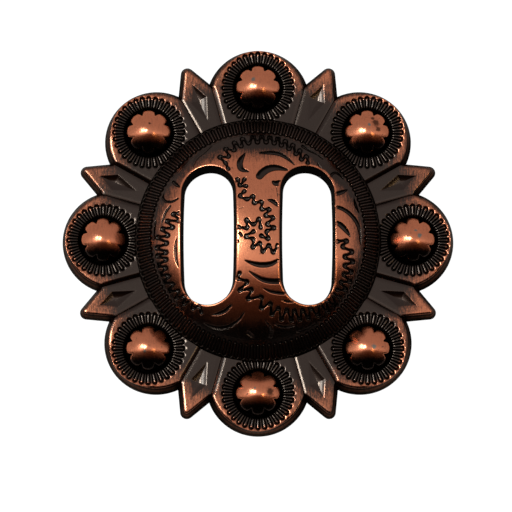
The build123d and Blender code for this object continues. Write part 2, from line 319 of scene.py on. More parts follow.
def smooth_line(points, step, pull=0.5, samples=40):
    """A curve through the points, sampled at even steps of its own length: a
    cubic from each point to the next, whose slope at a point is the pull times
    the way between its neighbours. A stronger pull makes rounder turns."""
    p = np.array(points, float)
    p = np.vstack([2 * p[0] - p[1], p, 2 * p[-1] - p[-2]])
    t = np.linspace(0, 1, samples, endpoint=False)[None, :, None]
    p0, p1, p2, p3 = (p[k : len(p) - 3 + k, None, :] for k in range(4))
    leave, arrive = (p2 - p0) * pull, (p3 - p1) * pull
    square = 3 * (p2 - p1) - 2 * leave - arrive
    cube = 2 * (p1 - p2) + leave + arrive
    curve = p1 + leave * t + square * t**2 + cube * t**3
    curve = np.vstack([curve.reshape(-1, 2), p[-2]])
    run = np.concatenate([[0], np.cumsum(np.linalg.norm(np.diff(curve, axis=0), axis=1))])
    even = np.linspace(0, run[-1], max(3, int(run[-1] / step)))
    return np.stack([np.interp(even, run, curve[:, k]) for k in (0, 1)], -1)


def cut_path(points, widths):
    """The middle line of a cut through its points, with the half width at each
    sample: a parabola through the three given, and never under a hair's width."""
    line = smooth_line(np.array(points) * dome_radius, step=0.04)
    t = np.linspace(0, 1, len(line))
    start, middle, end = widths
    half = start * (1 - t) * (1 - 2 * t) + middle * 4 * t * (1 - t) + end * t * (2 * t - 1)
    return line, np.maximum(half, hair) * dome_radius


def nearest(x, y, line, half, at_once=3000):
    """For every point the least of distance minus half width over a line's
    samples, and the sample that gives it. Points outside the line's box are
    left at the engraving's margin. So many points go at once."""
    around = half.max() + engraving_margin
    low, high = line.min(0) - around, line.max(0) + around
    near = np.flatnonzero((x > low[0]) & (x < high[0]) & (y > low[1]) & (y < high[1]))
    gap, which = np.full(x.shape, engraving_margin), np.zeros(x.shape, int)
    for part in np.array_split(near, max(1, len(near) // at_once)):
        d = np.hypot(x[part, None] - line[None, :, 0], y[part, None] - line[None, :, 1]) - half
        which[part] = d.argmin(1)
        gap[part] = d.min(1)
    return gap, which


def engraved(x, y):
    """Depth of the engraving at each point of the plan, how far the point lies
    inside it, and how dark it is. A cut has sloping sides down to a flat
    floor, grey like the flats, with painted shade along its upper side. A
    wriggle is a trough that widens at its turns, black but for its middle."""
    shape = x.shape
    x, y = x.ravel(), y.ravel()
    depth, inside, dark = (np.zeros(x.shape) for _ in range(3))
    for points in wriggles:
        turns = np.array(points) * dome_radius
        line = smooth_line(turns, step=0.02, pull=0.45)
        to_turn = np.hypot(*(line[:, None] - turns[None]).T).min(0)
        half = wriggle_half + wriggle_swell * hump(to_turn, width=0.2)
        gap, _ = nearest(x, y, line, half)
        sides, bed = ease(0.03, -0.10, gap), ease(-0.1, -0.2, gap)
        within, bright = ease(0.04, -0.02, gap), ease(-0.10, -0.17, gap)
        depth = np.maximum(depth, wriggle_depth * sides + wriggle_bed * bed)
        inside = np.maximum(inside, within)
        dark = np.maximum(dark, within * (0.95 - 0.9 * bright))
    for points, widths, share in cuts:
        line, half = cut_path(points, widths)
        gap, which = nearest(x, y, line, half)
        # The cut's upper side, towards +Y, is darkened as painted shade
        beside_x, beside_y = x - line[which, 0], y - line[which, 1]
        above = beside_y / np.maximum(np.hypot(beside_x, beside_y), tiny)
        upper = ease(0.0, 0.4, above) * ease(-0.42, -0.20, gap)
        within = ease(0.03, -0.03, gap) * share**0.5
        edge = 0.12 + 0.35 * hump(gap + 0.02, width=0.03)
        depth = np.maximum(depth, share * cut_depth * ease(0.03, -0.11, gap))
        inside = np.maximum(inside, within)
        dark = np.maximum(dark, within * np.maximum(edge, 0.95 * upper * share))
    return tuple(v.reshape(shape) for v in (depth, inside, dark))


# Finish

# The flats' skin, the black in the recesses and in painted shade, the bared
# copper where its grain is darker and lighter, the worn spots with one painted glint, and the tint of what
# glances off
patina_brown = (0.0385, 0.0268, 0.0228, 1)
recess_and_shade_black = (0.0010, 0.0008, 0.0007, 1)
copper_deep = (0.42, 0.130, 0.065, 1)
copper_light = (0.49, 0.160, 0.084, 1)
worn_grey_and_glint = (0.16, 0.135, 0.115, 1)
glance_tint = (0.55, 0.52, 0.50, 1)

# Worn spots on the bosses, with one painted glint among the grey ones: petal,
# place right of and above the boss's middle, and radius
grey_spots_and_glint = [
    (0, 0.62, 0.25, 0.26),
    (0, 0.25, 0.75, 0.16),
    # This grey one is a painted glint, not a worn spot
    (1, 0.2, 0.53, 0.18),
    (2, -0.44, 0.6, 0.24),
    (7, 0.6, 0.0, 0.26),
    (5, -0.3, -0.46, 0.18),
    (6, -0.3, 0.35, 0.12),
]
dark_spots = [
    (3, 0.08, 0.64, 0.15),
    (1, 0.5, 1.2, 0.22),
    (1, 0.82, 0.75, 0.42),
    (1, 1.05, 0.1, 0.3),
    (6, 1.15, 0.05, 0.42),
    (0, -0.5, 0.15, 0.1),
]


def add_group(name, inputs, outputs):
    """An empty shader node group, the sockets that give what comes in, and the
    sockets that take what goes out."""
    group = bpy.data.node_groups.new(name, "ShaderNodeTree")
    for label, kind, value in inputs:
        made = group.interface.new_socket(label, in_out="INPUT", socket_type=kind)
        if value is not None:
            made.default_value = value
    for label in outputs:
        group.interface.new_socket(label, in_out="OUTPUT", socket_type="NodeSocketFloat")
    return group, group.nodes.new("NodeGroupInput").outputs, group.nodes.new("NodeGroupOutput").inputs


def add(tree, kind, inputs=None, **settings):
    """A shader node with its settings. Each input, by its name or its order,
    is given a constant or the socket that feeds it."""
    node = tree.nodes.new("ShaderNode" + kind)
    for label, value in settings.items():
        setattr(node, label, value)
    for label, value in (inputs or {}).items():
        if isinstance(value, bpy.types.NodeSocket):
            tree.links.new(value, node.inputs[label])
        else:
            node.inputs[label].default_value = value
    return node


def maths(tree, operation, *values, clamp=False):
    """One step of arithmetic on sockets or plain numbers."""
    node = add(tree, "Math", dict(enumerate(values)), operation=operation, use_clamp=clamp)
    return node.outputs[0]


def mixed(tree, factor, first, second):
    """Two colours, each a socket or a constant, mixed by a factor."""
    inputs = {"Factor": factor, "A": first, "B": second}
    return add(tree, "Mix", inputs, data_type="RGBA").outputs["Result"]


def noise(tree, place, scale, detail, roughness):
    """Cloudy noise from 0 to 1, with so many features to a metre."""
    inputs = {"Vector": place, "Scale": scale, "Detail": detail, "Roughness": roughness}
    return add(tree, "TexNoise", inputs).outputs["Fac"]


def smooth_range(tree, value, low, high, start=0.0, end=1.0):
    """A smooth step from start, where the value is low, to end, where it is high."""
    inputs = {0: value, "From Min": low, "From Max": high, "To Min": start, "To Max": end}
    return add(tree, "MapRange", inputs, interpolation_type="SMOOTHSTEP").outputs["Result"]


def object_place(tree):
    """The place on the piece, in metres."""
    return add(tree, "TexCoord").outputs["Object"]


def rubbed_copper_group():
    """Where rubbing has bared the copper: the rubbed mask, broken up by cloudy
    patches, fine strokes along Y and grain, kept out of recesses and painted shade and out
    of what isn't rubbed at all, and dulled in a few small pits."""
    inputs = [("Rubbed", "NodeSocketFloat", 0.0), ("Recess_and_shade", "NodeSocketFloat", 0.0)]
    inputs.append(("Softness", "NodeSocketFloat", 0.2))
    group, given, out = add_group("rubbed_copper", inputs, ["Bare", "Grain"])
    place = object_place(group)
    stroke_scales = (9000.0, 1400.0, 1400.0)
    along_y = add(group, "VectorMath", {0: place, 1: stroke_scales}, operation="MULTIPLY")
    cloud = noise(group, place, scale=420.0, detail=4.0, roughness=0.6)
    strokes = noise(group, along_y.outputs[0], scale=1.0, detail=3.0, roughness=0.6)
    grain = noise(group, place, scale=7000.0, detail=3.0, roughness=0.7)
    shift = 0.0
    for pattern, strength in ((cloud, 0.5), (strokes, 1.3), (grain, 0.9)):
        centred = maths(group, "SUBTRACT", pattern, 0.5)
        shift = maths(group, "ADD", shift, maths(group, "MULTIPLY", centred, strength))
    level = maths(group, "ADD", given["Rubbed"], shift)
    low = maths(group, "SUBTRACT", 0.5, given["Softness"])
    high = maths(group, "ADD", 0.5, given["Softness"])
    bare = smooth_range(group, level, low, high)
    specks = noise(group, place, scale=2600.0, detail=2.0, roughness=0.5)
    pits = smooth_range(group, specks, 0.69, 0.75, 1.0, 0.25)
    out_of_recess_and_shade = maths(group, "SUBTRACT", 1.0, given["Recess_and_shade"], clamp=True)
    where_rubbed = maths(group, "MULTIPLY", given["Rubbed"], 8.0, clamp=True)
    for mask in (out_of_recess_and_shade, where_rubbed, pits):
        bare = maths(group, "MULTIPLY", bare, mask)
    group.links.new(bare, out["Bare"])
    group.links.new(grain, out["Grain"])
    return group


def spot_group():
    """A small worn spot, also used for the painted glint: full inside a ragged ball about its middle, none
    outside.
    """
    inputs = [("Middle", "NodeSocketVector", None), ("Radius", "NodeSocketFloat", 0.0002)]
    group, given, out = add_group("spot", inputs, ["Mask"])
    place = object_place(group)
    gap = add(group, "VectorMath", {0: place, 1: given["Middle"]}, operation="DISTANCE")
    rag = noise(group, place, scale=4500.0, detail=4.0, roughness=0.7)
    rag = maths(group, "MULTIPLY", rag, -2.0)
    ragged_radius = maths(group, "MULTIPLY", given["Radius"], maths(group, "ADD", 2.0, rag))
    ratio = maths(group, "DIVIDE", gap.outputs["Value"], ragged_radius)
    group.links.new(smooth_range(group, ratio, 0.5, 1.2, 1.0, 0.0), out["Mask"])
    return group


def cap_height(rho):
    """Height of a boss's cap: it falls as a hyperbola does, round at the crown
    and near a cone farther down."""
    return petal_height + boss_height - boss_slope * (np.sqrt(rho**2 + boss_crown**2) - boss_crown)


def boss_point(number, right, above):
    """A point on a boss's cap, in metres, from its place in plan beside the
    boss's middle."""
    turn = math.radians(petal_angle * number)
    x, y = boss_centre * math.cos(turn) + right, boss_centre * math.sin(turn) + above
    return (x * MM, y * MM, cap_height(math.hypot(right, above)) * MM)


def spots_mask(tree, group, spots):
    """The strongest of a set of worn spots."""
    mask = 0.0
    for number, right, above, radius in spots:
        inputs = {"Middle": boss_point(number, right, above), "Radius": radius * MM}
        spot = add(tree, "Group", inputs, node_tree=group)
        mask = maths(tree, "MAXIMUM", spot.outputs["Mask"], mask)
    return mask


def make_antique_copper():
    """Copper plate under a dark patina: bare copper where it is rubbed, a
    charcoal brown skin on the flats, black in the recesses and where shade is painted."""
    material = bpy.data.materials.new("antique_copper")
    material.use_nodes = True
    tree = material.node_tree
    shader = tree.nodes["Principled BSDF"]
    shader.inputs["Metallic"].default_value = 1.0
    shader.inputs["Specular Tint"].default_value = glance_tint
    rubbed = add(tree, "Attribute", attribute_name="rubbed").outputs["Fac"]
    recess_and_shade = add(tree, "Attribute", attribute_name="recess_and_shade").outputs["Fac"]
    spot = spot_group()
    dark = maths(tree, "MULTIPLY", spots_mask(tree, spot, dark_spots), 0.8)
    recess_and_shade = maths(tree, "MAXIMUM", recess_and_shade, dark)
    inputs = {"Rubbed": rubbed, "Recess_and_shade": recess_and_shade, "Softness": 0.6}
    wear = add(tree, "Group", inputs, node_tree=rubbed_copper_group())
    bare, grain = wear.outputs["Bare"], wear.outputs["Grain"]

    patina = mixed(tree, recess_and_shade, patina_brown, recess_and_shade_black)
    copper = mixed(tree, grain, copper_deep, copper_light)
    colour = mixed(tree, bare, patina, copper)
    colour = mixed(tree, spots_mask(tree, spot, grey_spots_and_glint), colour, worn_grey_and_glint)
    tree.links.new(colour, shader.inputs["Base Color"])
    rough = 0.17
    for mask, more in ((recess_and_shade, 0.2), (bare, 0.03), (grain, 0.05)):
        rough = maths(tree, "ADD", rough, maths(tree, "MULTIPLY", mask, more))
    tree.links.new(rough, shader.inputs["Roughness"])
    # The recesses are the most grainy
    height = maths(tree, "MULTIPLY", grain, maths(tree, "ADD", 0.35, recess_and_shade))
    bump = add(tree, "Bump", {"Strength": 1.0, "Distance": 0.02 * MM, "Height": height})
    tree.links.new(bump.outputs["Normal"], shader.inputs["Normal"])
    return material


antique_copper = make_antique_copper()


# Flutes, shared by the reeded rings and the band

# Where a pitch is sampled, to each side of its middle: close by a flute's edge
flute_steps = np.array([0.07, 0.16, 0.225, 0.28, 0.335, 0.42])
flute_steps = np.concatenate([-flute_steps[::-1], flute_steps])

# The black line along a flute's edge: its depth and half width, and how much
# lower the flute's floor is than the rib
flute_depth, flute_line, flute_floor = 0.19, 0.078, 0.03
flute_black = 0.072  # half width of the line's darkness


def flute_columns(count):
    """Angles round the circle at the sampling steps of every pitch."""
    pitch = 2 * math.pi / count
    return np.sort(((np.arange(count)[:, None] + flute_steps) * pitch).ravel() % (2 * math.pi))


def flute_phase(angles, count):
    """How far each angle is from the middle of its flute, as a share of the pitch."""
    return np.abs(((angles / (2 * math.pi / count) + 0.5) % 1) - 0.5)


def flute_cut(edge):
    """Depth and darkness at a distance from a flute's edge, inside negative: a
    bell over the edge, for its fine black line, and a smooth step inside it,
    for a floor a little lower than the rib beside it."""
    floor = ease(0.02, -0.10, edge)
    depth = flute_depth * hump(edge, flute_line) + flute_floor * floor
    return depth, np.maximum(hump(edge, flute_black), 0.08 * floor)


# Edges and backs, shared by the petals and the leaves

# From the flat face outwards, at the rim and at the side of a groove: how far
# inside the outline, and how far down
petal_edge = [
    # rim in, rim down, groove in, groove down
    (0.40, 0.0, 0.40, 0.0),
    (0.30, 0.003, 0.34, 0.006),
    (0.24, 0.010, 0.26, 0.024),
    (0.19, 0.020, 0.18, 0.060),
    (0.13, 0.042, 0.10, 0.110),
    (0.08, 0.072, 0.03, 0.160),
    (0.035, 0.115, -0.05, 0.218),
    (0.0, 0.18, -0.12, 0.28),
]
leaf_edge = [
    # rim in, rim down, groove in, groove down
    (0.38, 0.0, 0.24, 0.0),
    (0.29, 0.003, 0.18, 0.002),
    (0.23, 0.010, 0.12, 0.006),
    (0.18, 0.020, 0.07, 0.012),
    (0.12, 0.044, 0.02, 0.020),
    (0.07, 0.076, -0.03, 0.032),
    (0.03, 0.12, -0.08, 0.047),
    (0.0, 0.19, -0.12, 0.06),
]

# The outer wall's bands, painted shade and painted reflection more than wear: dark under the rim, a copper
# band, dark again, a lighter foot
wall_wear_and_shade = [
    # share of the way down, how rubbed, how dark
    (0.10, 0.0, 0.95),
    (0.30, 0.45, 0.65),
    (0.48, 0.40, 0.70),
    (0.68, 0.0, 0.9),
    (0.86, 0.0, 0.35),
    (0.96, 0.0, 0.25),
]


def leaf_valley():
    """Where a leaf's slanted side meets the petal's circle, along and across
    the leaf."""
    along, over = petal_middle * math.cos(half_step), petal_middle * math.sin(half_step)
    run = (leaf_apex - along) * math.cos(leaf_point) + over * math.sin(leaf_point)
    offset = (leaf_apex - along) * math.sin(leaf_point) - over * math.cos(leaf_point)
    run -= math.sqrt(petal_radius**2 - offset**2)
    return leaf_apex - run * math.cos(leaf_point), run * math.sin(leaf_point)


valley = leaf_valley()
groove_side = math.atan2(valley[1] - leaf_foot_width / 2, valley[0] - foot_radius)


def edge_and_back(skin, ways, by_groove, edge, height, lean, far, shade, turn=0.0, least=0.0, back=0.0):
    """Rings over the edge of a petal or leaf, down its leaning wall, and over
    its flat back to the middle. Where a groove is by, its side takes the place
    of the rim, and the wall begins beyond the outline, inside the neighbour.
    No ring comes nearer to the middle than the least, and a little more at
    each step. The turn of the rim keeps more of its grey skin than the face
    has, and the hole where a petal and a leaf part is black: the leaf's middle
    line lies at the turn given from the piece's own."""
    apart, bevel = 0.005, 0.03
    c, s = math.cos(turn), math.sin(turn)
    hole_x, hole_y = valley[0] * c + valley[1] * s, abs(valley[0] * s - valley[1] * c)
    for step, (rim_in, rim_down, groove_in, groove_down) in enumerate(edge):
        spread = -(1 - by_groove) * rim_in - by_groove * groove_in
        drop = (1 - by_groove) * rim_down + by_groove * groove_down
        rho = np.maximum(ways(spread).min(0), least + apart * step)
        x, y = skin.place(rho)
        hole = hump(np.hypot(x - hole_x, np.abs(y) - hole_y), width=0.45) * ease(0.02, 0.15, drop)
        rub = far(rho) * (1 - 0.6 * ease(0.002, 0.03, drop))
        skin.ring(rho, height - drop, rub, np.maximum(shade(drop), 0.95 * hole))
    least += 10 * apart
    overlap = -groove_in
    # Down the wall, its bands of painted shade and painted reflection
    for share, rub, dark in wall_wear_and_shade:
        spread = (1 - by_groove) * lean * share + by_groove * (overlap + (lean - overlap) * share)
        rho = np.maximum(ways(spread).min(0), least)
        skin.ring(rho, (height - drop) * (1 - share), rub * (1 - by_groove), dark)
    base = np.maximum(ways(lean).min(0), least)
    for rho, dark in ((base - bevel, 0.6), (base * 0.5, 0.5), (0.0, 0.5)):
        skin.ring(rho, back, 0.0, dark)


# Petals

# The foot of a boss's cap: share of the skirt's radius, drop below the cap, how dark
skirt_foot = [
    (0.95, 0.01, 0.0),
    (0.975, 0.04, 0.1),
    (0.99, 0.09, 0.6),
    (1.0, 0.18, 1.0),
    (1.01, 0.5, 1.0),
]

# Rings through the reeds: close together up the moat's side and at their round ends
reed_rings = [2.24, 2.27, 2.32, 2.42, 2.55, 2.7, 2.85, 3.0, 3.1]
reed_rings += [3.18, 3.25, 3.31, 3.36, 3.41, 3.46, 3.51, 3.57, face_radius]


def boss(skin, theta, turn):
    """The boss and the moat's floor: a cap, and a steep skirt with a narrow
    notch between each two lobes. The skirt's radius is the boss's, less a bell
    of the angle from the nearest notch and a cosine that swells the lobes. It
    is rubbed bare but for its near side, towards -Y, which is dark as painted shade."""
    lobe = (theta + math.pi / boss_lobes) % (2 * math.pi / boss_lobes)
    notch = np.minimum(lobe, 2 * math.pi / boss_lobes - lobe)
    skirt = boss_radius - notch_depth * hump(notch, notch_spread) - lobe_swell * np.cos(boss_lobes * notch)

    # Rubbed copper, taken away on the near side as painted shade
    def rub(rho):
        return rubbed_until(*boss_shade_fade, -rho * np.sin(theta + turn))

    for share in np.linspace(0, 1, cap_rings + 1)[:-1]:
        rho = skirt * share * skirt_foot[0][0]
        skin.ring(rho, cap_height(rho), rub(rho), 0.0)
    for share, drop, dark in skirt_foot:
        rho = skirt * share
        skin.ring(rho, np.maximum(cap_height(rho) - drop, moat_floor), rub(rho), dark)
    skin.ring(skirt * skirt_foot[-1][0] + 0.03, moat_floor, 0.0, 1.0)
    skin.ring(moat_radius - 0.05, moat_floor, 0.0, 1.0)


def reeded_ring(skin, theta, far):
    """The moat's outer side and the reeds: grooves that run out of the moat to
    round ends, over a face that sinks a little towards the moat. How far a
    point is from a groove's edge is its arc from the groove's middle, or past
    the groove's straight part its way from the round end's middle, less the
    half width."""
    across = flute_phase(theta, reed_count) * (2 * math.pi / reed_count)
    half = reed_share / 2 * (2 * math.pi / reed_count)
    end_half = half * reed_radius
    for rho in reed_rings:
        over_end = rho - reed_radius + end_half
        edge = across * rho - half * rho
        if over_end > 0:
            edge = np.hypot(across * rho, over_end) - end_half
        depth, dark = flute_cut(edge)
        z = petal_height - reed_fall * (1 - ease(*reed_sink, rho)) - depth
        z -= (z - moat_floor) * (1 - ease(*moat_side, rho)) * 0.9
        dark = np.maximum(dark, 0.9 * (1 - ease(*moat_shade, rho)))
        skin.ring(rho, z, far(rho) * ease(*reed_bare, rho) * (1 - dark) ** 2, dark)


def petal(number):
    """One petal as rings about its boss: the domed boss with its notched
    skirt, the moat, the reeded ring, the flat face, its rim or the side of
    the groove by a leaf, the leaning wall, and the flat back."""
    turn = math.radians(petal_angle * number)
    theta = flute_columns(reed_count)
    d = np.stack([np.cos(theta), np.sin(theta)], -1)
    skin = Skin(lambda rho: (boss_centre + rho * d[:, 0], rho * d[:, 1]))

    # The near edge of the groove by the next leaf, as a line in the petal's own
    # plan: its normal, and how far from the boss's middle it is
    x = foot_radius - groove_width / 2 * math.sin(groove_side)
    y = leaf_foot_width / 2 + groove_width / 2 * math.cos(groove_side)
    start_x = x * math.cos(half_step) + y * math.sin(half_step)
    start_y = x * math.sin(half_step) - y * math.cos(half_step)
    tilt = half_step - groove_side
    normal = (-math.sin(tilt), math.cos(tilt))
    limit = normal[0] * (start_x - boss_centre) + normal[1] * start_y

    def ways(spread):
        """The ways to the outline's circle, grooves and root, spread outwards so far."""
        return np.stack([
            way_to_circle(d, (petal_middle - boss_centre, 0), petal_radius - rim_lean + spread),
            way_to_sides(d, normal, limit + spread),
            way_to_line(d, (-1, 0), boss_centre - root),
        ])

    plain = ways(0.0)
    by_leaf = ease(-0.05, 0.25, plain[0] - plain[1])

    def far(rho):
        """Rubbed copper grows towards the petal's outer rim."""
        radius = np.hypot(*skin.place(rho))
        by_rim = ease(0.85, 0.4, plain.min(0) - rho) * ease(13.5, 16.5, radius)
        return 0.40 * ease(13.8, 17.8, radius) + 0.2 * by_rim

    def shade(drop):
        """Painted shade low on the rim, and a little low in the groove."""
        return 0.55 * ease(0.09, 0.2, drop) * (1 - by_leaf) + 0.2 * by_leaf * ease(0.15, 0.36, drop)

    boss(skin, theta, turn)
    reeded_ring(skin, theta, far)
    clear = face_radius + 0.02
    face_end = np.maximum(ways(-petal_edge[0][0]).min(0), clear)
    for share in (0.3, 0.65):
        rho = face_radius + (face_end - face_radius) * share
        skin.ring(rho, petal_height, far(rho), 0.0)
    edge_and_back(
        skin, ways, by_leaf, petal_edge, petal_height, rim_lean, far, shade, turn=half_step, least=clear
    )
    return skin.piece(f"petal_{number + 1}", sharp=60.0, turn=turn)


# Leaves

# How much more or less each leaf's copper is rubbed
leaf_wear = [0.7, 1.05, 1.0, 0.75, 1.05, 1.15, 0.85, 1.25]

# The kite cut's floor and its eased brim, as shares of the way to its outline
kite_floor = [0.0, 0.08, 0.18, 0.3, 0.45, 0.6, 0.75, 0.88]
kite_brim = [
    # share, how far down
    (0.96, 0.022),
    (1.0, 0.009),
    (1.05, 0.003),
    (1.11, 0.0),
]


def leaf(number):
    """One leaf as rings about the deepest point of its kite cut: the scooped
    facets of the cut, the face, its rim or the side of the groove by a petal,
    the leaning wall, and the flat back."""
    apex = leaf_apex - leaf_lean / math.sin(leaf_point)
    point = (math.sin(leaf_point), math.cos(leaf_point))
    groove = (-math.sin(groove_side), math.cos(groove_side))
    foot = groove[0] * (foot_radius - kite_middle) + groove[1] * (leaf_foot_width / 2) - groove_width / 2
    corners = np.arange(4) * math.pi / 2
    theta = np.concatenate([np.linspace(a, a + math.pi / 2, kite_rays + 1)[:-1] for a in corners])
    d = np.stack([np.cos(theta), np.sin(theta)], -1)
    skin = Skin(lambda rho: (kite_middle + rho * d[:, 0], rho * d[:, 1]))

    def ways(spread):
        """The ways to the outline's rounded point, grooves and root, spread outwards so far."""
        spread = np.broadcast_to(spread, theta.shape)
        point_way = (apex - kite_middle) * point[0] + spread
        slanted = way_to_sides(d, point, point_way)
        radius = np.maximum(leaf_point_radius + spread, 0.01)
        middle = apex - kite_middle + (spread - radius) / point[0]
        rounded = way_to_circle(d, np.stack([middle, 0 * middle], -1), radius)
        at_point = slanted * d[:, 0] > middle + radius * point[0]
        return np.stack([
            np.where(at_point, np.minimum(slanted, rounded), slanted),
            way_to_sides(d, groove, foot + spread),
            way_to_line(d, (-1, 0), kite_middle - root),
        ])

    plain = ways(0.0)
    by_petal = ease(-0.05, 0.2, plain[0] - plain[1])
    # The kite's outline has straight sides between its four corners
    reach_x = np.where(np.cos(theta) >= 0, kite_outer, kite_inner)
    kite = 1 / (np.abs(np.cos(theta)) / reach_x + np.abs(np.sin(theta)) / kite_half)

    def far(rho):
        """Rubbed copper over the leaf's point and along its slanted edges."""
        along, _ = skin.place(rho)
        by_rim = ease(0.7, 0.1, plain[0] - rho) * (1 - by_petal) * ease(15.4, 16.6, along)
        return leaf_wear[number] * (0.62 * ease(14.6, 18.0, along) + 0.12 * by_rim)

    def shade(drop):
        """Painted shade low on the rim, and less in the groove."""
        return 0.5 * ease(0.10, 0.21, drop) * (1 - 0.7 * by_petal)

    # The cut's depth falls with a power of the share of the way to its outline
    for share in kite_floor:
        z = leaf_height - kite_depth * (1 - max(share, 0.04) ** kite_scoop)
        skin.ring(kite * share, z, 0.15 * far(kite * share), 0.0)
    for share, drop in kite_brim:
        skin.ring(kite * share, leaf_height - drop, far(kite * share) * 0.8, 0.0)
    face_start = kite * kite_brim[-1][0]
    rim_in, _, groove_in, _ = leaf_edge[0]
    face_end = ways(by_petal * (rim_in - groove_in) - rim_in).min(0)
    for share in (0.25, 0.5, 0.75):
        rho = face_start + (face_end - face_start) * share
        skin.ring(rho, leaf_height, far(rho), 0.0)
    edge_and_back(skin, ways, by_petal, leaf_edge, leaf_height, leaf_lean, far, shade, back=leaf_back)
    turn = math.radians(petal_angle * (number + 0.5))
    return skin.piece(f"leaf_{number + 1}", sharp=28.0, turn=turn)


# Dome

# Rays round a slot's end, those tried to space them, and rays along its side.
# Rings over the face, and over the lip.
end_rays, trial_rays, side_rays = 321, 2001, 150
face_rings, lip_rings = 80, 8
slot_passes = 12  # tries at finding a slot's edge on the dome
seam_catch = 1e-6  # points as near the plane that parts the halves are put on it
slot_wall_rings = [0.15, 0.4, 0.7, 0.93, 1.0]  # shares of the way down
hollow_rings = [0.04, 0.15, 0.3, 0.5, 0.7, 0.85, 0.96, 1.0]  # shares of the way out

# Rubbing on the dome fades between these radii, and sooner about its upper
# corners. On the near side, painted shade thickens between these distances.
rub_fade = (7.7, 10.5)
corner_x, corner_y, corner_spread = 7.0, 6.5, 3.464
near_shade_fade = (7.8, 9.2)


def rub_on_dome(x, y):
    """Rubbing on the dome: full round the slots, fading to the margin, and
    sooner at the top and the upper corners than elsewhere."""
    top = 1.5 * hump(x, width=4) * ease(0, 5, y)
    right = 0.9 * hump(np.hypot(x - corner_x, y - corner_y), corner_spread)
    left = 0.4 * hump(np.hypot(x + corner_x, y - corner_y), corner_spread)
    return rubbed_until(*rub_fade, np.hypot(x, y) - 0.03 * np.abs(x) + top + right + left)


def near_side_shade(y):
    """Painted shade round the dome's foot on the near side, towards -Y."""
    return ease(*near_shade_fade, -y)


def bend(start, corner, end, t):
    """A parabola from start to end that sets out towards the corner."""
    return (1 - t) ** 2 * start + 2 * t * (1 - t) * corner + t**2 * end


def way_out(start, direction, radius):
    """The way from a place in a half dome to its circle, or to the plane that
    parts the halves where that is nearer, and whether it is the circle."""
    circle = way_to_circle(direction, (0, 0), radius, start)
    line = way_to_line(direction, (-1, 0), slot_middle)
    return np.minimum(circle, line), circle < line


def slot_rays():
    """Rays square to a slot's outline, once round it: where each starts on
    the slot's middle line, and its direction. Round the ends they are spaced
    evenly along the half dome's edge, with one on its corner."""
    angles = np.linspace(0, math.pi, trial_rays)
    end = (slot_middle, slot_straight)
    ways, _ = way_out(end, np.stack([np.cos(angles), np.sin(angles)], -1), seam_radius)
    run = np.concatenate([[0], np.cumsum(ways)])[:-1]
    cap = np.interp(np.linspace(0, run[-1], end_rays), run, angles)[1:-1]
    corner = math.atan2(seam_radius - slot_straight, -slot_middle)
    cap[np.abs(cap - corner).argmin()] = corner
    cap = np.concatenate([[0], cap, [math.pi]])
    side = np.linspace(-slot_straight, slot_straight, side_rays)[1:-1]
    top = np.full(len(cap), slot_straight)
    start_y = np.concatenate([side, top, side[::-1], -top])
    angle = np.concatenate([0 * side, cap, 0 * side + math.pi, cap + math.pi])
    start = np.stack([np.full(len(start_y), slot_middle), start_y], -1)
    return start, np.stack([np.cos(angle), np.sin(angle)], -1)


